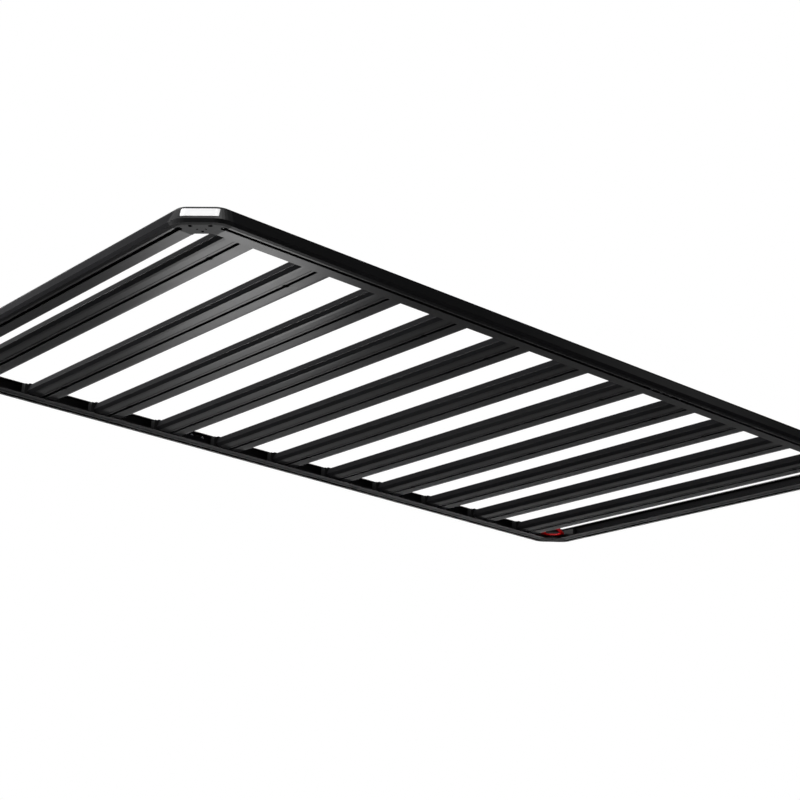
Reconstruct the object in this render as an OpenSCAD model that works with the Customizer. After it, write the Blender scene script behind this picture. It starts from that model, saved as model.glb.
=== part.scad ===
// Flat platform roof rack: hollow slats across an extruded frame with cast corners.
// Frame: +Z up, length along Y, width along X, origin at the bottom centre.

/* [Overall] */
// Overall length of the rack
rack_l = 2353; // [1500:1:2800]
// Overall width of the rack
rack_w = 1312; // [1000:1:1500]
// Height of the frame
rail_h = 40; // [36:0.5:60]
// Number of slats
slat_n = 11; // [6:1:11]
// Distance from the front end to the middle of the first slat
slat_front_in = 155; // [135:0.5:200]
// Distance from the rear end to the middle of the last slat
slat_rear_in = 178; // [150:0.5:220]

/* [Rail] */
// How far the lower outer edge stands in from the bulge
bulge_in = 12.6; // [10:0.1:16]
// Height of the crease on the outer face
crease_z = 8.3; // [7:0.1:10]
// How far the lower edge of the slope below the crease stands in from the bulge
lower_in = 5.2; // [3:0.1:6]
// Height of that edge
lower_z = 1.2; // [0.6:0.1:3]
// Distance from the bulge to where the lower face is level
level_in = 14.2; // [10:0.1:16]
// Width from the bulge to the foot's inner edge
foot_in = 60.6; // [55:0.1:70]
// Thickness of the foot
foot_t = 3; // [2:0.1:4]
// Width from the bulge to the top flange's inner edge
flange_in = 30.6; // [26:0.1:34]
// Wall of the extrusion
wall = 2.4; // [1.8:0.1:3.2]
// Height of the top band of the outer face
band_h = 5; // [3:0.1:6]
// Distance from the bulge to the slot's middle
slot_in = 24.3; // [22:0.1:26]
// Width of the slot's mouth
slot_w = 10.2; // [8:0.1:11]
// Width of the slot's chamber
chamber_w = 20; // [16:0.1:21]
// Depth of the slot's chamber
chamber_h = 6.4; // [6:0.1:8]
// Thickness of the slot's lips
lip_t = 2.5; // [2:0.1:3]
// Radius of the round at the top of the outer face
top_r = 2.6; // [1.5:0.1:3]
// Distance from the bulge to the small step in the foot
step_in = 40.1; // [38:0.1:44]
// Height of that step
step_h = 0.6; // [0.2:0.1:1]

/* [Slat] */
// Height of a slat
slat_h = 28; // [24:0.5:31]
// Width of the slat's lower face
slat_low_w = 74; // [60:0.5:90]
// Width over the slat's creases
slat_wide = 89.2; // [80:0.1:100]
// Height of the crease over the slat's lower face
slat_crease_z = 8.7; // [6:0.1:12]
// Width of the slat's upper face
slat_top_w = 76.8; // [60:0.1:90]
// Wall of the slat
slat_wall = 2.2; // [1.8:0.1:3]
// Mouth of the slat's slots
slat_slot_w = 8.45; // [6:0.05:10]
// Width of the slat's slot chambers
slat_chamber_w = 17; // [14:0.5:20]
// Depth of the slat's slot chambers
slat_chamber_h = 6.6; // [5:0.1:8]
// Width of the raised land beside each slot
land_w = 21.2; // [18:0.1:26]
// Step of the land
land_step = 0.6; // [0.2:0.1:1]
// Width of the slope at each edge of the faces
edge_w = 7.5; // [4:0.5:10]
// Rise of that slope
edge_rise = 0.4; // [0.2:0.1:1]
// How far a slat reaches in over the foot
slat_lap = 20; // [12:0.5:20]
// Width of the round bolt entry
entry_d = 15.5; // [12:0.5:17]
// Distance of the bolt entry from the bulge
entry_in = 172.6; // [120:0.1:260]

/* [End blocks] */
// Wall of the black block beside the slat's creases
block_side = 8.4; // [5:0.1:15]
// Depth of the block
block_d = 18; // [12:0.5:18]
// Height of the block beside the slat
block_h = 28; // [20:0.5:30]
// How far the block stands back from the foot's edge
block_back = 3; // [2:0.5:6]

/* [Corners] */
// Distance from the bulge lines to the rail seams
seam_in = 96; // [94:0.5:110]
// Leg of the cut corner at the lower outer edge
cut_leg = 60.25; // [50:0.25:70]
// Radius of the bends at the bulge
bend_r = 47.6; // [42:0.1:60]
// Wall of the corner casting
cast_wall = 4.2; // [3:0.1:5]
// Thickness of the foot plate
plate_t = 4; // [3:0.1:5]
// Leg of the foot plate's cut inner corner, over both bulge lines
plate_cut = 147.45; // [140:0.05:156]
// Diameter of the large holes
hole_big_d = 9.5; // [6:0.1:10]
// Distance of the large holes from the cut corner's lower edge
hole_big_in = 7; // [6:0.1:9]
// Half the distance between the large holes
hole_big_half = 20.7; // [18:0.1:22]
// Diameter of the small holes
hole_small_d = 4.5; // [3:0.1:6]
// Distance of the small holes from that edge
hole_small_in = 22.2; // [20:0.1:26]
// Half the distance between the small holes
hole_small_half = 8.9; // [7:0.1:12]
// Diameter of the middle hole
hole_mid_d = 7; // [5:0.1:8]
// Distance of the middle hole from that edge
hole_mid_in = 32.9; // [30:0.1:34]
// Height of the bosses round the holes
boss_h = 13; // [8:0.5:14]
// Length of the tongue inside each rail
tongue_l = 34; // [20:1:60]
// Height of the tongue's top
tongue_top = 33; // [28:0.5:34]
// Width of the slot entry beside each seam
notch_w = 14; // [12:0.5:16]
// Length of that entry
notch_l = 13; // [10:0.5:14]

/* [Plates] */
// Height of the plate's lower edge
badge_low = 14.1; // [12:0.1:18]
// Height of the plate's upper edge
badge_top = 34.8; // [28:0.1:34.9]
// Thickness of the plate
badge_t = 1; // [0.6:0.1:2]
// Length of the plate round each bend, as an angle
badge_turn = 14.5; // [5:0.5:40]
// Radius of the plate's corners
badge_r = 2.5; // [1:0.1:5]

/* [Splices] */
// Distance of the side rails' joints from the middle
splice_off = 268.5; // [200:0.5:320]
// Distance between splice screws
splice_step = 36; // [30:0.5:40]
// Length of the splice bar
splice_l = 150; // [130:1:180]
// Height of the splice bar
splice_h = 13.6; // [8:0.1:16]
// Diameter of the splice screws
screw_d = 6; // [5:0.5:8]
// Diameter of their heads
screw_head_d = 9.8; // [8:0.1:10]

/* [Opener] */
// Height of the ring's lower face
ring_z = 17; // [15:0.5:20]
// Thickness of the ring
ring_t = 5; // [3:0.5:6]
// Width of the ring's band
ring_band = 11.5; // [8:0.5:14]
// Depth of the ring's outer edge from the cut corner's lower edge
ring_in = 11.4; // [11:0.1:14]
// Length of the ring
ring_l = 96; // [80:0.5:97]
// Half width of the ring's outer side
ring_half_a = 18.4; // [14:0.1:24]
// Half width of the ring at its widest
ring_half_b = 40.3; // [34:0.1:42]
// Half width of the ring's inner side
ring_half_c = 23; // [18:0.1:28]
// Depth of the ring's widest place
ring_wide_at = 25.4; // [20:0.1:30]
// Diameter of the opener's screws
ring_screw_d = 5; // [4:0.5:6]

/* [Fits] */
// Gap at the seams between rails and corners
seam_gap = 0.3; // [0.1:0.05:1]
// Clearance of the splice bars, tongues and blocks
fit_gap = 0.2; // [0.1:0.05:0.5]
// Clearance of a screw in its hole
screw_gap = 0.6; // [0.2:0.1:1]

/* [Node] */
// Which sub-part to build

/* [Hidden] */
$fn = 48;
eps = 0.01;
band_in = bulge_in - 0.8;
band_z = rail_h - band_h;
chamber_z = lip_t + chamber_h;
shelf_z = chamber_z + wall;
diag = cut_leg + 2 * bulge_in - bulge_in * sqrt(2);
mid_diag = diag / 2;
bend_y = diag + bend_r * (sqrt(2) - 1);
diag_half = (diag - bend_r * (2 - sqrt(2))) / sqrt(2);
round_steps = 5;
bend_steps = 5;
far = 250;
slat_len = rack_w - 2 * foot_in + 2 * slat_lap;
block_w = slat_wide + 2 * block_side;
strap_w = slat_top_w + 6;
slat_pitch = (rack_l - slat_front_in - slat_rear_in) / (slat_n - 1);
function slat_y(i) = -rack_l / 2 + slat_front_in + (i - 1) * slat_pitch;
core_h = slat_h - 2 * (slat_wall + slat_chamber_h + slat_wall);
splice_z = shelf_z + fit_gap;
bar_w = 2 * (foot_in - slat_lap - slot_in - 7.8);
nut_h = 0.8 * screw_d;
black = [0.12, 0.12, 0.13];

// Outer face of the frame at height z, counted in from the bulge
function skin(z) = z < crease_z ? 0 : z < band_z ? band_in * (z - crease_z) / (band_z - crease_z)
    : band_in + (bulge_in - band_in) * (z - band_z) / band_h;

// Runs a section from y0 to y1, the section's x staying x and its y becoming z
module run(y0, y1) translate([0, y1, 0]) rotate([90, 0, 0]) linear_extrude(y1 - y0) children();

// Outline of the frame over a foot of width w, its outer face rounded at the top
module outline(w) polygon(concat([[level_in, 0], [lower_in, lower_z], [0, crease_z], [band_in, band_z]],
    [for (k = [0:round_steps]) let (a = k / round_steps * 90)
        [band_in + 0.2 + top_r * (1 - cos(a)), rail_h - top_r * (1 - sin(a))]], [[w, rail_h], [w, 0]]));

module slot_cut() {
    translate([slot_in - slot_w / 2, -1]) square([slot_w, lip_t + 1 + eps]);
    translate([slot_in - chamber_w / 2, lip_t]) square([chamber_w, chamber_h]);
}

// Section of the side and end rails
module rail_section() {
    difference() {
        outline(foot_in);
        polygon([[skin(shelf_z) + wall, shelf_z], [slot_in + chamber_w / 2 + wall, shelf_z],
            [slot_in + chamber_w / 2 + wall, foot_t], [foot_in + 1, foot_t], [foot_in + 1, rail_h + 1],
            [flange_in, rail_h + 1], [flange_in, rail_h - wall], [bulge_in + wall, rail_h - wall],
            [band_in + wall, band_z]]);
        slot_cut();
        translate([step_in, -1]) square([foot_in, 1 + step_h]);
    }
}

// Room inside the casting's wall, over its foot plate and under its top flange
module cast_room(w) polygon([[skin(crease_z + 1) + cast_wall, crease_z], [level_in, plate_t],
    [w, plate_t], [w, rail_h - wall], [bulge_in + cast_wall, rail_h - wall], [band_in + cast_wall, band_z]]);

// What lies inside a section carried round the cut corner, whose bends are cut in flats
module cut_round() intersection_for(k = [0:2 * bend_steps]) {
    a = k * 45 / bend_steps;
    translate([a > 45 ? bend_y : bend_r, a > 45 ? bend_r : bend_y, 0]) rotate([0, 0, a])
        translate([-bend_r, 0, 0]) run(-far, far) children();
}

// Point at a depth from the cut's lower edge and a distance t along it, in the corner's own frame
function cut_pt(depth, t) = [for (s = [-1, 1]) mid_diag + (depth + bulge_in + s * t) / sqrt(2)];

module at_holes(depth, half) for (s = [-1, 1]) translate(cut_pt(depth, s * half)) children();

// Tongue inside a rail, tied to the casting's wall beside the seam
module tongue() {
    translate([slot_in - bar_w / 2, seam_in - 26, splice_z])
        cube([bar_w, tongue_l + 26, tongue_top - splice_z]);
    translate([bulge_in, seam_in - 8.5, tongue_top - 12]) cube([8, 8.5 - seam_gap, 12]);
}

// Everything inside the corner's edge: w in from both sides, its cut at x + y = c
module inner_side(w, c) linear_extrude(rail_h)
    polygon([[w, far], [w, c - w], [c - w, w], [far, w], [far, far]]);

// Casting of a corner
module corner_body() {
    end = seam_in - seam_gap;
    difference() {
        union() {
            difference() {
                intersection() {
                    cut_round() outline(far);
                    cube([end, end, rail_h]);
                }
                cut_round() cast_room(far);
                translate([0, 0, plate_t + 1]) inner_side(flange_in, diag + flange_in * sqrt(2));
                translate([0, 0, -1]) inner_side(foot_in, plate_cut);
            }
            at_holes(hole_big_in, hole_big_half) cylinder(d = hole_big_d + 6, h = boss_h);
            at_holes(hole_small_in, hole_small_half) cylinder(d = hole_small_d + 4.5, h = boss_h - 3);
            translate(cut_pt(hole_mid_in, 0)) cylinder(d = hole_mid_d + 6, h = boss_h - 1);
            for (m = [0, 1]) mirror([m, -m, 0]) tongue();
            translate([mid_diag, mid_diag, ring_z + ring_t]) rotate([0, 0, 45])
                translate([cast_wall + 6, -diag_half, 0])
                cube([ring_in + bulge_in + ring_band - cast_wall - 6, 2 * diag_half, 5]);
        }
        at_holes(hole_big_in, hole_big_half) translate([0, 0, -1]) cylinder(d = hole_big_d, h = boss_h + 2);
        at_holes(hole_small_in, hole_small_half) translate([0, 0, -1]) cylinder(d = hole_small_d, h = boss_h);
        translate(cut_pt(hole_mid_in, 0)) translate([0, 0, -1]) cylinder(d = hole_mid_d, h = boss_h + 1);
        for (m = [0, 1]) mirror([m, -m, 0]) {
            translate([slot_in - notch_w / 2, seam_in - notch_l + notch_w / 2, -1])
                cube([notch_w, notch_l, plate_t + 2]);
            translate([slot_in, seam_in - notch_l + notch_w / 2, -1]) cylinder(d = notch_w, h = plate_t + 2);
        }
        at_ring_screws() translate([0, 0, ring_t - 1]) cylinder(d = ring_screw_d, h = 7);
    }
}

// Places of the opener's screws, at the ring's lower face
module at_ring_screws() for (s = [-1, 1])
    translate([each cut_pt(ring_in + ring_band / 2, s * ring_half_a * 0.65), ring_z]) children();

// Face plate: a skin over the cut and part of the bends
module plate_body() {
    top = badge_top - badge_low;
    lean = skin(badge_top) - skin(badge_low);
    edge = diag_half + bend_r * sin(badge_turn);
    intersection() {
        difference() {
            cut_round() polygon([[skin(badge_low) - badge_t, badge_low],
                [skin(badge_top) - badge_t, badge_top], [far, badge_top], [far, badge_low]]);
            cut_round() polygon([[skin(badge_low) - lean, badge_low - top],
                [skin(badge_top) + lean, badge_top + top], [far, badge_top + top], [far, badge_low - top]]);
        }
        translate([mid_diag, mid_diag, 0]) rotate([0, 0, 45]) rotate([90, 0, 90])
            translate([0, 0, -diag_half]) linear_extrude(2 * diag_half) {
            translate([-edge, badge_low + badge_r]) square([2 * edge, top - 2 * badge_r]);
            translate([-edge + badge_r, badge_low]) square([2 * (edge - badge_r), top]);
            for (y = [-1, 1], z = [badge_low + badge_r, badge_top - badge_r])
                translate([y * (edge - badge_r), z]) circle(r = badge_r);
        }
    }
}

// Puts a corner's piece at a side (sx) and an end (sy)
module at_corner(sx, sy) translate([sx * rack_w / 2, sy * rack_l / 2, 0])
    mirror([sx > 0 ? 1 : 0, 0, 0]) mirror([0, sy > 0 ? 1 : 0, 0]) children();

// Places of the splice screws
module at_splice(sx) for (k = [-1.5, -0.5, 0.5, 1.5])
    translate([sx * (rack_w / 2 - slot_in), sx * splice_off + k * splice_step, 0]) children();

// One length of a side rail, from the splice to the corner at end sy
module side_rail(sx, sy) {
    joint = sx * splice_off + sy * seam_gap / 2;
    side_end = sy * (rack_l / 2 - seam_in);
    color(black) difference() {
        mirror([sx > 0 ? 1 : 0, 0, 0]) translate([-rack_w / 2, 0, 0])
            run(min(joint, side_end), max(joint, side_end)) rail_section();
        at_splice(sx) translate([0, 0, chamber_z - 1]) cylinder(d = screw_d + screw_gap, h = wall + 2);
    }
}

module end_rail(sy) color(black) mirror([0, sy > 0 ? 1 : 0, 0]) translate([0, -rack_l / 2, 0])
    mirror([1, -1, 0]) run(-rack_w / 2 + seam_in, rack_w / 2 - seam_in) rail_section();

// Completes half an outline with its mirror image
function both_sides(s) = concat(s, [for (i = [len(s) - 1:-1:0]) [-s[i][0], s[i][1]]]);

// Half outline of a slat from the middle outwards, face z up to height z1
function slat_side() = [[land_w / 2, 0], [land_w / 2, land_step], [slat_low_w / 2 - edge_w, land_step],
    [slat_low_w / 2, land_step + edge_rise], [slat_wide / 2, slat_crease_z],
    [slat_top_w / 2, slat_h - land_step - edge_rise], [slat_top_w / 2 - edge_w, slat_h - land_step],
    [land_w / 2, slat_h - land_step], [land_w / 2, slat_h]];

module slat_section() {
    s = slat_side();
    web = slat_chamber_w / 2 + slat_wall;
    difference() {
        polygon(both_sides(s));
        for (m = [0, 1]) mirror([m, 0]) polygon([[web, land_step + slat_wall],
            [slat_low_w / 2 - slat_wall / 2, land_step + edge_rise + slat_wall],
            [slat_wide / 2 - slat_wall, slat_crease_z],
            [slat_top_w / 2 - slat_wall / 2, slat_h - land_step - edge_rise - slat_wall],
            [web, slat_h - land_step - slat_wall]]);
        for (m = [0, 1]) translate([0, m * slat_h]) mirror([0, m]) {
            translate([-slat_slot_w / 2, -1]) square([slat_slot_w, slat_wall + 1 + eps]);
            translate([-slat_chamber_w / 2, slat_wall]) square([slat_chamber_w, slat_chamber_h]);
        }
        translate([-slat_chamber_w / 2, (slat_h - core_h) / 2]) square([slat_chamber_w, core_h]);
    }
}

module slat(i) color([0.15, 0.15, 0.16]) translate([0, slat_y(i), foot_t]) difference() {
    rotate([0, 0, 90]) run(-slat_len / 2, slat_len / 2) slat_section();
    for (s = [-1, 1]) translate([s * (rack_w / 2 - entry_in), 0, -1]) {
        cylinder(d = entry_d, h = slat_wall + 1 + eps);
        translate([0, 0, slat_h - slat_wall + 1 - eps]) cylinder(d = entry_d, h = slat_wall + 1);
    }
}

// Black blocks round the slats' ends, each with a strap over its slat
module end_blocks(sx) color([0.05, 0.05, 0.05]) for (i = [1:slat_n])
    translate([sx * (rack_w / 2 - foot_in + block_back + block_d / 2), slat_y(i), foot_t])
    difference() {
        union() {
            translate([-block_d / 2, -block_w / 2, 0]) cube([block_d, block_w, block_h]);
            translate([-block_d / 2, -strap_w / 2, 0]) cube([block_d, strap_w, slat_h + 3]);
        }
        rotate([0, 0, 90]) run(-block_d, block_d) block_pocket();
    }

// The slat's outline with play all round, open below
module block_pocket() {
    g = fit_gap;
    s = [[slat_low_w / 2 + g, -1], [slat_low_w / 2 + g, land_step + edge_rise - g],
        [slat_wide / 2 + g, slat_crease_z], [slat_top_w / 2 + g, slat_h + g]];
    polygon(both_sides(s));
}

module splice_bar(sx) color([0.1, 0.1, 0.1]) difference() {
    translate([sx * (rack_w / 2 - slot_in) - bar_w / 2, sx * splice_off - splice_l / 2, shelf_z])
        cube([bar_w, splice_l, splice_h]);
    at_splice(sx) translate([0, 0, shelf_z - 1]) cylinder(d = screw_d + screw_gap, h = splice_h + 2);
}

module splice_screws(sx) color([0.7, 0.7, 0.7]) at_splice(sx) difference() {
    union() {
        translate([0, 0, chamber_z - screw_d]) cylinder(d = screw_head_d, h = screw_d);
        translate([0, 0, chamber_z - 1]) cylinder(d = screw_d, h = wall + splice_h + nut_h + 2.5);
        translate([0, 0, shelf_z + splice_h]) cylinder(d = screw_d * 1.85, h = nut_h, $fn = 6);
    }
    translate([0, 0, chamber_z - screw_d - 1]) cylinder(d = screw_d * 0.93, h = 4, $fn = 6);
}

// Outline of the opener's ring about the cut corner's own axis, shrunk by g
module ring_outline(g) {
    a = bulge_in + ring_in;
    offset(r = 8 - g / 2) offset(delta = -8 - g / 2)
        polygon([[a, -ring_half_a], [a, ring_half_a], [a + ring_wide_at, ring_half_b],
            [a + ring_l, ring_half_c], [a + ring_l, -ring_half_c], [a + ring_wide_at, -ring_half_b]]);
}

module bottle_opener() color([0.72, 0.05, 0.05]) at_corner(-1, 1) difference() {
    translate([mid_diag, mid_diag, ring_z]) rotate([0, 0, 45]) linear_extrude(ring_t) difference() {
        ring_outline(0);
        ring_outline(ring_band);
    }
    at_ring_screws() translate([0, 0, -1]) cylinder(d = ring_screw_d + screw_gap, h = ring_t + 2);
}

module opener_screws() color([0.2, 0.2, 0.2]) at_corner(-1, 1) at_ring_screws() difference() {
        union() {
            translate([0, 0, -2.4]) cylinder(d = ring_screw_d + 3.6, h = 2.4);
            translate([0, 0, -1]) cylinder(d = ring_screw_d - 0.1, h = ring_t + 5);
        }
        translate([0, 0, -3.4]) cylinder(d = 3.4, h = 2.4, $fn = 6);
    }

module corner(sx, sy) color([0.1, 0.1, 0.11]) at_corner(sx, sy) corner_body();
module plate(sx, sy) color([0.9, 0.9, 0.9]) at_corner(sx, sy) plate_body();

slat(1);  // slat_01
slat(2);  // slat_02
slat(3);  // slat_03
slat(4);  // slat_04
slat(5);  // slat_05
slat(6);  // slat_06
slat(7);  // slat_07
slat(8);  // slat_08
slat(9);  // slat_09
slat(10);  // slat_10
slat(11);  // slat_11
side_rail(1, -1);  // side_rail_right_front
side_rail(1, 1);  // side_rail_right_rear
side_rail(-1, -1);  // side_rail_left_front
side_rail(-1, 1);  // side_rail_left_rear
end_rail(-1);  // end_rail_front
end_rail(1);  // end_rail_rear
corner(1, -1);  // corner_front_right
corner(-1, -1);  // corner_front_left
corner(1, 1);  // corner_rear_right
corner(-1, 1);  // corner_rear_left
plate(1, -1);  // plate_front_right
plate(-1, -1);  // plate_front_left
plate(1, 1);  // plate_rear_right
plate(-1, 1);  // plate_rear_left
end_blocks(1);  // end_blocks_right
end_blocks(-1);  // end_blocks_left
splice_bar(1);  // splice_bar_right
splice_bar(-1);  // splice_bar_left
splice_screws(1);  // splice_screws_right
splice_screws(-1);  // splice_screws_left
bottle_opener();
opener_screws();
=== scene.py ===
import bmesh
import bpy
from math import cos, pi, radians, sin
from mathutils import Matrix, Vector


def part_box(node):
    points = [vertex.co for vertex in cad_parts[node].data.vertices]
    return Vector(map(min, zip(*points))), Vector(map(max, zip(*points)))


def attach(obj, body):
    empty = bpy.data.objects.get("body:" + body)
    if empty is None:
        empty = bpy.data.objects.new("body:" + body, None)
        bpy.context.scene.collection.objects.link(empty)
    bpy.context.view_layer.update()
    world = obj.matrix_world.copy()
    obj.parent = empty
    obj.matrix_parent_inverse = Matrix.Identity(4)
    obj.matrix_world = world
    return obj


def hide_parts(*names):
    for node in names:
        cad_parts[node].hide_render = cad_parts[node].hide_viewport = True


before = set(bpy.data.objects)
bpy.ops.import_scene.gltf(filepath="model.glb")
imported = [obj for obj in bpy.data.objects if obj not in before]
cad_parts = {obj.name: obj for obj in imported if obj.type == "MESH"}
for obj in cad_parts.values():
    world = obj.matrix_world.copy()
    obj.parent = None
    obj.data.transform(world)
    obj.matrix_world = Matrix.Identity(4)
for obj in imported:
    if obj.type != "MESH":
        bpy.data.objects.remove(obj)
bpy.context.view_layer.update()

MM = 0.001


def srgb(code):
    """Turns a hex sRGB colour into the linear colour that shaders use."""
    parts = [int(code[i : i + 2], 16) / 255 for i in (1, 3, 5)]
    return [c / 12.92 if c <= 0.04045 else ((c + 0.055) / 1.055) ** 2.4 for c in parts] + [1]


def add(tree, kind, inputs=None, **settings):
    """Adds a node with its settings; each input gets a value, or a link from another node or its output."""
    node = tree.nodes.new(kind)
    for name, value in settings.items():
        setattr(node, name, value)
    for name, value in (inputs or {}).items():
        if isinstance(value, bpy.types.Node):
            value = value.outputs[0]
        if isinstance(value, bpy.types.NodeSocket):
            tree.links.new(value, node.inputs[name])
        else:
            node.inputs[name].default_value = value
    return node


# ---- Finishes ----


def new_material(name):
    """Gives an empty material: the material, its tree, its shader and its place on the object."""
    material = bpy.data.materials.new(name)
    material.use_nodes = True
    tree = material.node_tree
    tree.nodes.clear()
    shader = add(tree, "ShaderNodeBsdfPrincipled")
    add(tree, "ShaderNodeOutputMaterial", {"Surface": shader})
    return material, tree, shader, add(tree, "ShaderNodeTexCoord").outputs["Object"]


def blotches(tree, place, size_mm, low, high, stretch=(1, 1, 1), detail=2.0):
    """Noise whose blotches are size_mm across, spread between two values."""
    stretched = add(tree, "ShaderNodeMapping", {"Vector": place, "Scale": stretch})
    grain = {"Vector": stretched, "Scale": 1 / (size_mm * MM), "Detail": detail}
    noise = add(tree, "ShaderNodeTexNoise", grain)
    spread = {"Value": noise, "From Min": 0.3, "From Max": 0.7, "To Min": low, "To Max": high}
    return add(tree, "ShaderNodeMapRange", spread)


def coloured(tree, shader, place, size_mm, dark, light):
    """Colours a shader between a dark and a light shade, in clouds size_mm across."""
    shades = {"Factor": blotches(tree, place, size_mm, 0, 1), "A": srgb(dark), "B": srgb(light)}
    colour = add(tree, "ShaderNodeMix", shades, data_type="RGBA")
    tree.links.new(colour.outputs["Result"], shader.inputs["Base Color"])


def roughened(tree, shader, place, size_mm, rough, waver):
    """Gives a shader a roughness that varies by waver, in blotches size_mm across."""
    spots = blotches(tree, place, size_mm, rough - waver, rough + waver)
    tree.links.new(spots.outputs[0], shader.inputs["Roughness"])


def bumped(tree, height, below=None):
    """Turns a height in metres into a shading normal, on top of another one where that is given."""
    inputs = {"Height": height, "Strength": 1.0, "Distance": 1.0}
    if below is not None:
        inputs["Normal"] = below
    return add(tree, "ShaderNodeBump", inputs)


def powder_coat(name, dark, light, rough, peel_mm, depth_mm, along=None):
    """Polyester powder coat, sprayed dry and baked: satin, with a fine orange peel, over metal."""
    material, tree, shader, place = new_material(name)
    # The coat is a little thicker here and thinner there, which the eye reads as faint cloudiness.
    coloured(tree, shader, place, 140, dark, light)
    roughened(tree, shader, place, 60, rough, 0.01)
    # Orange peel: real grain is 0.5 to 6 mm wide, and the coarse end is drawn, as finer grain can't show.
    normal = bumped(tree, blotches(tree, place, peel_mm, 0, depth_mm * MM))
    if along:
        # The die leaves faint lines along an extrusion, 2 mm apart, that the coat doesn't quite hide.
        stretch = (0.004, 1, 1) if along == "x" else (1, 0.004, 1)
        lines = blotches(tree, place, 2.0, 0, 0.0015 * MM, stretch, detail=1.0)
        normal = bumped(tree, lines, normal)
    tree.links.new(normal.outputs[0], shader.inputs["Normal"])
    return material


coat_across = powder_coat("Satin black powder coat on extruded aluminium, along X", "#131314", "#161618",
                          rough=0.34, peel_mm=3, depth_mm=0.001, along="x")
coat_along = powder_coat("Satin black powder coat on extruded aluminium, along Y", "#131314", "#161618",
                         rough=0.34, peel_mm=3, depth_mm=0.001, along="y")
coat_cast = powder_coat("Black powder coat on sand-cast aluminium", "#101011", "#161617",
                        rough=0.5, peel_mm=2.5, depth_mm=0.012)
coat_red = powder_coat("Red powder coat on laser-cut steel", "#d80a10", "#e60e12",
                       rough=0.38, peel_mm=4, depth_mm=0.004)


def moulded(name, dark, light, rough, grain_mm, depth_mm):
    """Moulded plastic: even colour all through, with the mould's spark-eroded grain on its skin."""
    material, tree, shader, place = new_material(name)
    coloured(tree, shader, place, 60, dark, light)
    roughened(tree, shader, place, 8, rough, 0.04)
    normal = bumped(tree, blotches(tree, place, grain_mm, 0, depth_mm * MM, detail=4.0))
    tree.links.new(normal.outputs[0], shader.inputs["Normal"])
    shader.inputs["IOR"].default_value = 1.53
    return material


nylon = moulded("Black glass-filled nylon, moulded", "#060607", "#0a0a0b",
                rough=0.7, grain_mm=1.6, depth_mm=0.02)
nylon.node_tree.nodes["Principled BSDF"].inputs["Specular IOR Level"].default_value = 0.25
abs_white = moulded("White ABS, moulded and polished", "#f2f2f3", "#fafafa",
                    rough=0.22, grain_mm=6, depth_mm=0.002)


def turned_steel(name, dark, light, rough):
    """Metal parts, cold headed, rolled or drawn, then plated: fine rings round the axis, a soft shine."""
    material, tree, shader, place = new_material(name)
    coloured(tree, shader, place, 3, dark, light)
    roughened(tree, shader, place, 1.2, rough, 0.06)
    normal = bumped(tree, blotches(tree, place, 0.5, 0, 0.004 * MM, (1, 1, 8)))
    tree.links.new(normal.outputs[0], shader.inputs["Normal"])
    shader.inputs["Metallic"].default_value = 1.0
    return material


stainless = turned_steel("Stainless steel, cold headed", "#a9abb0", "#c2c4c8", rough=0.3)
black_oxide = turned_steel("Steel, black oxide", "#2c2c2e", "#3a3a3c", rough=0.4)
anodised = turned_steel("Black anodised aluminium bar", "#1d1d20", "#242427", rough=0.42)


# ---- Making pieces ----

WELD = 0.002 * MM           # corners of a CAD mesh this close are one corner
FLAT = radians(0.4)         # faces that fold by less are one face
FOLD = radians(7)           # from here on, a fold between broad faces stays crisp
BROAD = 3 * MM              # a face is broad from this width
EVEN = 80                   # how far large faces lead when normals are evened out


def finished(name, mesh, slot, material, *nodes):
    """Puts a finished mesh in the scene in place of CAD nodes."""
    piece = bpy.data.objects.new(name, mesh)
    bpy.context.scene.collection.objects.link(piece)
    mesh.materials.clear()
    mesh.materials.append(material)
    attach(piece, "root")
    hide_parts(*nodes)
    return piece


def evaluated_mesh(maker):
    """Turns an object with modifiers into a plain mesh, and removes the object."""
    bpy.context.view_layer.update()
    shown = maker.evaluated_get(bpy.context.evaluated_depsgraph_get())
    mesh = bpy.data.meshes.new_from_object(shown)
    bpy.data.objects.remove(maker)
    return mesh


def round_edges(maker, radius_mm, segments, fold):
    """Adds a bevel that rounds the edges which fold by more than an angle, in degrees."""
    rounds = maker.modifiers.new("Rounded edges", "BEVEL")
    rounds.width, rounds.segments = radius_mm * MM, segments
    rounds.limit_method, rounds.angle_limit = "ANGLE", radians(fold)
    return rounds


def softened(node, radius_mm, slot, material, segments=2, clamp=True, fold=26):
    """Stands in for a CAD node, with its sharp edges rounded as the coat and the tool leave them."""
    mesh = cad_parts[node].data.copy()
    solid = bmesh.new()
    solid.from_mesh(mesh)
    bmesh.ops.remove_doubles(solid, verts=solid.verts, dist=WELD)
    bmesh.ops.dissolve_limit(solid, angle_limit=FLAT, verts=solid.verts, edges=solid.edges)
    for face in solid.faces:
        face.smooth = True
    for edge in solid.edges:
        # Shallow folds between broad faces stay crisp; the facets of a round blend into each other.
        if len(edge.link_faces) == 2 and edge.calc_face_angle(0) > FOLD:
            smallest = min(face.calc_area() for face in edge.link_faces)
            edge.smooth = smallest < edge.calc_length() * BROAD
    solid.to_mesh(mesh)
    solid.free()
    maker = bpy.data.objects.new(node + "_maker", mesh)
    bpy.context.scene.collection.objects.link(maker)
    round_edges(maker, radius_mm, segments, fold).use_clamp_overlap = clamp
    even = maker.modifiers.new("Even shading", "WEIGHTED_NORMAL")
    even.weight, even.keep_sharp = EVEN, True
    return finished(node + "_finished", evaluated_mesh(maker), slot, material, node)


# ---- Geometry Nodes for what repeats ----


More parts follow.
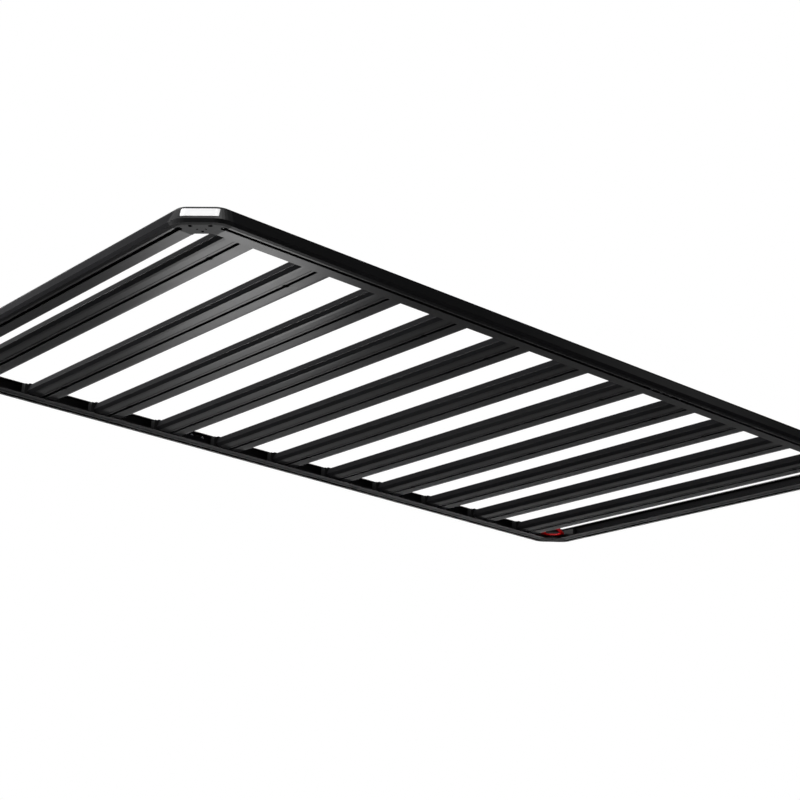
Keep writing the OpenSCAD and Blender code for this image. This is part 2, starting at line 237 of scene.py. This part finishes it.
def new_tree(name, sizes):
    """Starts a Geometry Nodes tree with a named input for each size, in metres, and for its material."""
    tree = bpy.data.node_groups.new(name, "GeometryNodeTree")
    tree.interface.new_socket("Geometry", in_out="INPUT", socket_type="NodeSocketGeometry")
    for label, kind in sizes + [("Finish", "Material")]:
        tree.interface.new_socket(label, in_out="INPUT", socket_type="NodeSocket" + kind)
    tree.interface.new_socket("Geometry", in_out="OUTPUT", socket_type="NodeSocketGeometry")
    return tree, add(tree, "NodeGroupInput").outputs


def times(tree, a, b):
    """Multiplies two numbers."""
    return add(tree, "ShaderNodeMath", {0: a, 1: b}, operation="MULTIPLY")


def point(tree, x, y, z):
    """Joins three numbers to a point."""
    return add(tree, "ShaderNodeCombineXYZ", {"X": x, "Y": y, "Z": z})


def moved(tree, shape, place, turn=(0, 0, 0)):
    """Turns a shape and moves it to a place."""
    return add(tree, "GeometryNodeTransform", {"Geometry": shape, "Translation": place, "Rotation": turn})


def copied(tree, shape, points):
    """Sets a copy of a shape on each point, as real geometry."""
    copies = add(tree, "GeometryNodeInstanceOnPoints", {"Points": points, "Instance": shape})
    return add(tree, "GeometryNodeRealizeInstances", {"Geometry": copies})


def cut(tree, solid, tool):
    """Cuts one solid out of another."""
    return add(tree, "GeometryNodeMeshBoolean", {"Mesh 1": solid, "Mesh 2": tool},
               operation="DIFFERENCE", solver="EXACT")


def joined(tree, *parts):
    """Joins geometries without merging them."""
    join = add(tree, "GeometryNodeJoinGeometry")
    for part in reversed(parts):
        tree.links.new(part.outputs[0], join.inputs[0])
    return join


def row(tree, given, part, step):
    """Ends a tree: shades the part, sets it along a row as one real mesh, and gives it its finish."""
    turn = add(tree, "GeometryNodeInputMeshEdgeAngle").outputs["Unsigned Angle"]
    crisp = add(tree, "FunctionNodeCompare", {"A": turn, "B": radians(34)},
                data_type="FLOAT", operation="GREATER_THAN")
    smooth = add(tree, "GeometryNodeSetShadeSmooth", {"Geometry": part, "Shade Smooth": True},
                 domain="FACE")
    shaded = add(tree, "GeometryNodeSetShadeSmooth",
                 {"Geometry": smooth, "Selection": crisp, "Shade Smooth": False}, domain="EDGE")
    line = add(tree, "GeometryNodeMeshLine",
               {"Count": given["Count"], "Start Location": given["First"], "Offset": step}, mode="OFFSET")
    real = copied(tree, shaded, line)
    done = add(tree, "GeometryNodeSetMaterial", {"Geometry": real, "Material": given["Finish"]})
    add(tree, "NodeGroupOutput", {"Geometry": done})
    return tree


def bars_tree(name, entries):
    """Bars sawn from one extruded section, in a row along Y; slats also have bolt entries in their slots."""
    sizes = [("Length", "Float"), ("Edge radius", "Float"), ("Count", "Int"), ("First", "Vector"),
             ("Pitch", "Float")]
    if entries:
        sizes += [("Entry width", "Float"), ("Entry depth", "Float"), ("Entry spacing", "Float"),
                  ("Height", "Float")]
    tree, given = new_tree(name, sizes)
    outline = add(tree, "GeometryNodeMeshToCurve", {"Mesh": given["Geometry"]})
    rounded = add(tree, "GeometryNodeFilletCurve",
                  {"Curve": outline, "Count": 3, "Radius": given["Edge radius"], "Limit Radius": True},
                  mode="POLY")
    face = add(tree, "GeometryNodeFillCurve", {"Curve": rounded}, mode="TRIANGLES")
    drawn = add(tree, "GeometryNodeExtrudeMesh",
                {"Mesh": face, "Offset": point(tree, 0, 0, 1), "Offset Scale": given["Length"],
                 "Individual": False})
    back = add(tree, "GeometryNodeFlipFaces", {"Mesh": face})
    closed = add(tree, "GeometryNodeMergeByDistance",
                 {"Geometry": joined(tree, drawn, back), "Distance": 0.005 * MM})
    # The section's own X and Y become the rack's Y and Z, and the die's direction becomes X.
    start = point(tree, times(tree, given["Length"], -0.5), 0, 0)
    laid = moved(tree, closed, start, (pi / 2, 0, pi / 2))
    if entries:
        drill = add(tree, "GeometryNodeMeshCylinder",
                    {"Vertices": 48, "Radius": times(tree, given["Entry width"], 0.5),
                     "Depth": times(tree, given["Entry depth"], 2)})
        places = add(tree, "GeometryNodeMeshGrid",
                     {"Size X": given["Entry spacing"], "Size Y": given["Height"],
                      "Vertices X": 2, "Vertices Y": 2})
        middle = point(tree, 0, 0, times(tree, given["Height"], 0.5))
        drills = copied(tree, drill, moved(tree, places, middle, (pi / 2, 0, 0)))
        laid = cut(tree, laid, drills)
    return row(tree, given, laid, point(tree, 0, given["Pitch"], 0))


def screws_tree(name, nuts):
    """Socket screws, heads down, in a row: head with a hexagon socket, rolled thread, and a nut if any."""
    sizes = [("Head width", "Float"), ("Head height", "Float"), ("Socket width", "Float"),
             ("Shank width", "Float"), ("Shank length", "Float"), ("Thread pitch", "Float"),
             ("Count", "Int"), ("First", "Vector"), ("Step", "Vector")]
    if nuts:
        sizes += [("Nut width", "Float"), ("Nut height", "Float"), ("Nut place", "Float")]
    tree, given = new_tree(name, sizes)

    def share(label, part):
        return times(tree, given[label], part)

    def upright(radius, height, low, sides):
        solid = add(tree, "GeometryNodeMeshCylinder", {"Vertices": sides, "Radius": radius, "Depth": height})
        middle = add(tree, "ShaderNodeMath", {0: height, 1: 0.5, 2: low}, operation="MULTIPLY_ADD")
        return moved(tree, solid, point(tree, 0, 0, middle))

    def six(label):
        # A hexagon's corners lie further out than its flats by this ratio.
        return share(label, 0.5 / cos(pi / 6))

    head = upright(share("Head width", 0.5), given["Head height"], 0, 40)
    socket = upright(six("Socket width"), share("Head height", 1.2), share("Head height", -0.6), 6)
    head = cut(tree, head, socket)
    # The thread's ridge stands on a core a little thinner than the shank.
    shank = upright(share("Shank width", 0.44), given["Shank length"], given["Head height"], 20)
    turns = add(tree, "ShaderNodeMath", {0: given["Shank length"], 1: given["Thread pitch"]},
                operation="DIVIDE")
    helix = add(tree, "GeometryNodeCurveSpiral",
                {"Resolution": 20, "Rotations": turns, "Start Radius": share("Shank width", 0.45),
                 "End Radius": share("Shank width", 0.45), "Height": given["Shank length"]})
    ridge = add(tree, "GeometryNodeCurvePrimitiveCircle",
                {"Resolution": 5, "Radius": share("Thread pitch", 0.3)})
    wound = add(tree, "GeometryNodeCurveToMesh", {"Curve": helix, "Profile Curve": ridge})
    parts = [head, shank, moved(tree, wound, point(tree, 0, 0, given["Head height"]))]
    if nuts:
        parts.append(upright(six("Nut width"), given["Nut height"], given["Nut place"], 6))
    return row(tree, given, joined(tree, *parts), given["Step"])


def grown(name, start, tree, sizes, slot, nodes, softness_mm=0.0):
    """Runs a tree on a starting mesh with these sizes, and puts what comes out in place of CAD nodes."""
    maker = bpy.data.objects.new(name + "_maker", start)
    bpy.context.scene.collection.objects.link(maker)
    growth = maker.modifiers.new("Growth", "NODES")
    growth.node_group = tree
    sockets = [item for item in tree.interface.items_tree if item.item_type == "SOCKET"]
    names = {item.name: item.identifier for item in sockets if item.in_out == "INPUT"}
    for label, value in sizes.items():
        growth[names[label]] = value
    if softness_mm:
        round_edges(maker, softness_mm, 2, 40)
    maker.modifiers.new("Even shading", "WEIGHTED_NORMAL").weight = EVEN
    mesh = evaluated_mesh(maker)
    for face in mesh.polygons:
        face.material_index = 0
    return finished(name, mesh, slot, sizes["Finish"], *nodes)


def section_of(node, middle):
    """Draws the outline that a CAD node shows at its end at +X, as loops of edges, about a middle Y."""
    solid = bmesh.new()
    solid.from_mesh(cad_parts[node].data)
    bmesh.ops.remove_doubles(solid, verts=solid.verts, dist=WELD)
    end = max(corner.co.x for corner in solid.verts)
    on_end, one_bar = 0.01 * MM, 100 * MM

    def in_cap(corner):
        return abs(corner.co.x - end) < on_end and abs(corner.co.y - middle) < one_bar

    cap = {face for face in solid.faces if all(in_cap(corner) for corner in face.verts)}
    rim = [edge for edge in solid.edges if sum(face in cap for face in edge.link_faces) == 1]
    # A dictionary keeps the mesh's own order, which a set doesn't, so each run draws the same loops.
    corners = list(dict.fromkeys(corner for edge in rim for corner in edge.verts))
    section = bpy.data.meshes.new(node + "_section")
    section.from_pydata([(corner.co.y - middle, corner.co.z, 0) for corner in corners],
                        [[corners.index(corner) for corner in edge.verts] for edge in rim], [])
    solid.free()
    return section


# ---- Frame ----

RAIL_FOLD = 64              # the crease along a rail's face folds less than this, and stays sharp

for node in ("side_rail_right_front", "side_rail_right_rear", "side_rail_left_front", "side_rail_left_rear"):
    softened(node, 0.4, "rail_metal", coat_along, fold=RAIL_FOLD)
for node in ("end_rail_front", "end_rail_rear"):
    softened(node, 0.4, "rail_metal", coat_across, fold=RAIL_FOLD)
for side in ("front_right", "front_left", "rear_right", "rear_left"):
    softened("corner_" + side, 0.8, "corner_metal", coat_cast)
    softened("plate_" + side, 0.3, "plate_plastic", abs_white)
for side in ("right", "left"):
    softened("splice_bar_" + side, 0.6, "bar_metal", anodised)
softened("bottle_opener", 0.8, "opener_red", coat_red, segments=3, clamp=False)

# ---- Slats, blocks and screws ----

SLATS = 11
slats = ["slat_%02d" % number for number in range(1, SLATS + 1)]
first, last = [(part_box(slats[n])[0][1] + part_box(slats[n])[1][1]) / 2 for n in (0, -1)]
slat_low, slat_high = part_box("slat_06")[0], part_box("slat_06")[1]
slat_middle = (slat_low[1] + slat_high[1]) / 2
along_y = {"Count": SLATS, "First": (0, first, 0), "Pitch": (last - first) / (SLATS - 1)}
section = section_of("slat_06", slat_middle)
for corner in section.vertices:
    corner.co.y -= slat_low[2]
grown("slats", section, bars_tree("Row of slats", True),
      along_y | {"First": (0, first, slat_low[2]), "Length": slat_high[0] - slat_low[0],
                 "Edge radius": 0.5 * MM, "Entry width": 15.5 * MM, "Entry depth": 2.2 * MM,
                 "Entry spacing": 966.8 * MM, "Height": slat_high[2] - slat_low[2],
                 "Finish": coat_across}, "slat_metal", slats)
blocks = bars_tree("Row of end blocks", False)
for side in ("right", "left"):
    low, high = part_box("end_blocks_" + side)
    grown("blocks_" + side, section_of("end_blocks_" + side, slat_middle), blocks,
          along_y | {"First": ((low[0] + high[0]) / 2, first, 0), "Length": high[0] - low[0],
                     "Edge radius": 1.2 * MM, "Finish": nylon},
          "block_plastic", ["end_blocks_" + side], softness_mm=0.5)

splice_tree = screws_tree("Row of splice screws", True)
head_width, head_height, splice_step = 9.8 * MM, 6 * MM, 36 * MM
nut_below_end = 7.3 * MM    # from a screw's upper end down to the nut's lower face
for side in ("right", "left"):
    low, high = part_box("splice_screws_" + side)
    middle_x, first_y, tall = (low[0] + high[0]) / 2, low[1] + head_width / 2, high[2] - low[2]
    grown("splice_row_" + side, bpy.data.meshes.new("Start"), splice_tree,
          {"Count": 4, "First": (middle_x, first_y, low[2]), "Step": (0, splice_step, 0),
           "Head width": head_width, "Head height": head_height, "Socket width": 4.8 * MM,
           "Shank width": 6 * MM, "Shank length": tall - head_height, "Thread pitch": 1 * MM,
           "Nut width": 9.6 * MM, "Nut height": 4.8 * MM, "Nut place": tall - nut_below_end,
           "Finish": stainless}, "screw_steel", ["splice_screws_" + side])
low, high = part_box("opener_screws")
head_width, head_height = 8.6 * MM, 2.4 * MM
grown("opener_screw_row", bpy.data.meshes.new("Start"), screws_tree("Row of opener screws", False),
      {"Count": 2, "First": (low[0] + head_width / 2, low[1] + head_width / 2, low[2]),
       "Step": (high[0] - low[0] - head_width, high[1] - low[1] - head_width, 0),
       "Head width": head_width, "Head height": head_height, "Socket width": 3.4 * MM,
       "Shank width": 4.9 * MM, "Shank length": high[2] - low[2] - head_height,
       "Thread pitch": 0.8 * MM, "Finish": black_oxide}, "screw_steel", ["opener_screws"])

# ---- Camera, lamps and floor ----

# The camera stands below the rack and looks up at it, with a slight roll, as in the photograph.
turn, rise, roll = radians(140.168), radians(19.308), radians(2.566)
ahead = Vector((cos(rise) * cos(turn), cos(rise) * sin(turn), sin(rise)))
right = ahead.cross(Vector((0, 0, 1))).normalized()
up = right.cross(ahead)
right, up = cos(roll) * right + sin(roll) * up, cos(roll) * up - sin(roll) * right
stand = Matrix.Translation((3.1654366, -2.7183145, -1.3962833))
camera = bpy.data.objects.new("Camera", bpy.data.cameras.new("Camera"))
camera.data.lens, camera.data.sensor_width = 73.269, 36
camera.data.clip_end = 100
camera.matrix_world = stand @ Matrix((right, up, -ahead)).transposed().to_4x4()
bpy.context.scene.collection.objects.link(camera)
bpy.context.scene.camera = camera


def softbox(name, place, aim, size, radiance, colour="#ffffff"):
    """A soft lamp of a given size whose face shines as brightly as white times radiance."""
    lamp = bpy.data.lights.new(name, "AREA")
    lamp.shape, lamp.size, lamp.size_y = "RECTANGLE", *size
    lamp.energy = radiance * pi * size[0] * size[1]
    lamp.color = srgb(colour)[:3]
    box = bpy.data.objects.new(name, lamp)
    facing = (Vector(aim) - Vector(place)).to_track_quat("-Z", "Y")
    box.matrix_world = Matrix.Translation(place) @ facing.to_matrix().to_4x4()
    box.visible_camera = False
    bpy.context.scene.collection.objects.link(box)
    return box


softbox("Key", (-0.1, -3.2, 0.7), (0.3, -1.0, 0), (1.0, 1.0), radiance=26)
softbox("Left key", (-1.9, -2.6, 0.73), (0, 0, 0), (0.8, 0.8), radiance=24)
softbox("Side fill", (2.93, 0.65, 0.15), (0.6, 0, 0), (1.4, 1.4), radiance=1.5)
softbox("Right rail fill", (1.2, 3.0, 2.6), (0.65, 0, 0), (0.8, 0.8), radiance=0.25)
sweep = softbox("Sweep under the near corner", (-1.1, 0.1, -1.0), (0.6, -1.5, 0), (0.5, 0.5), radiance=1.42)
sweep.data.spread = radians(100)
softbox("Low strip far behind", (-6.13, 5.14, -0.75), (0, 0, -0.1), (9.0, 0.15), radiance=11)
softbox("Rim", (-2.6, 3.0, 2.9), (0, 0, 0), (1.6, 1.6), radiance=7, colour="#dfe6ff")
softbox("Overhead", (1.6, -1.6, 2.6), (0, 0, 0), (1.5, 1.5), radiance=4)


def rays(tree):
    """Gives a tree's light path, and 1 for rays that the camera sends straight or through glass."""
    path = add(tree, "ShaderNodeLightPath")
    ends = {0: path.outputs["Is Camera Ray"], 1: path.outputs["Is Transmission Ray"]}
    return path, add(tree, "ShaderNodeMath", ends, operation="MAXIMUM")


DIM = 0.02                  # how bright the studio is where it is dark
world = bpy.data.worlds.new("Studio")
bpy.context.scene.world = world
world.use_nodes = True
tree = world.node_tree
tree.nodes.clear()
path, seen = rays(tree)
# Satin black mirrors a dark studio, apart from the white ceiling right above it, which metal shows too.
direction = add(tree, "ShaderNodeTexCoord").outputs["Generated"]
high = add(tree, "ShaderNodeSeparateXYZ", {"Vector": direction}).outputs["Z"]
ceiling = add(tree, "ShaderNodeMapRange",
              {"Value": high, "From Min": 0.97, "From Max": 0.99, "To Min": DIM, "To Max": 1.0})
dim = add(tree, "ShaderNodeMix", {"Factor": path.outputs["Is Glossy Ray"], "A": DIM, "B": ceiling})
level = add(tree, "ShaderNodeMix", {"Factor": seen, "A": dim, "B": 1.0})
white = add(tree, "ShaderNodeBackground", {"Color": srgb("#ffffff"), "Strength": level})
add(tree, "ShaderNodeOutputWorld", {"Surface": white})

bpy.context.scene.view_settings.view_transform = "Standard"

REACH, LEVEL = 40, -1.75    # the floor's half width and its height
floor_mesh = bpy.data.meshes.new("Floor")
floor_mesh.from_pydata([(x, y, LEVEL) for x, y in ((-REACH, -REACH), (REACH, -REACH), (REACH, REACH),
                                                   (-REACH, REACH))], [], [(0, 1, 2, 3)])
floor = bpy.data.objects.new("Floor", floor_mesh)
bpy.context.scene.collection.objects.link(floor)
material, tree, shader, _ = new_material("Pale painted floor")
shader.inputs["Base Color"].default_value = srgb("#f0f0f0")
shader.inputs["Roughness"].default_value = 0.9
# The camera sees it nearly white, and somewhat lighter where lamps fall on it; from below it is clear.
seen = rays(tree)[1]
glow = add(tree, "ShaderNodeEmission", {"Color": srgb("#ffffff"), "Strength": 0.82})
matt = add(tree, "ShaderNodeBsdfDiffuse", {"Color": srgb("#8c8c8c")})
both = add(tree, "ShaderNodeAddShader", {0: glow, 1: matt})
pale = add(tree, "ShaderNodeMixShader", {"Fac": seen, 1: shader, 2: both})
clear = add(tree, "ShaderNodeBsdfTransparent")
back = add(tree, "ShaderNodeNewGeometry").outputs["Backfacing"]
under = add(tree, "ShaderNodeMixShader", {"Fac": back, 1: pale, 2: clear})
material.cycles.emission_sampling = "NONE"
tree.links.new(under.outputs[0], tree.nodes["Material Output"].inputs["Surface"])
floor_mesh.materials.append(material)
floor.visible_glossy = False
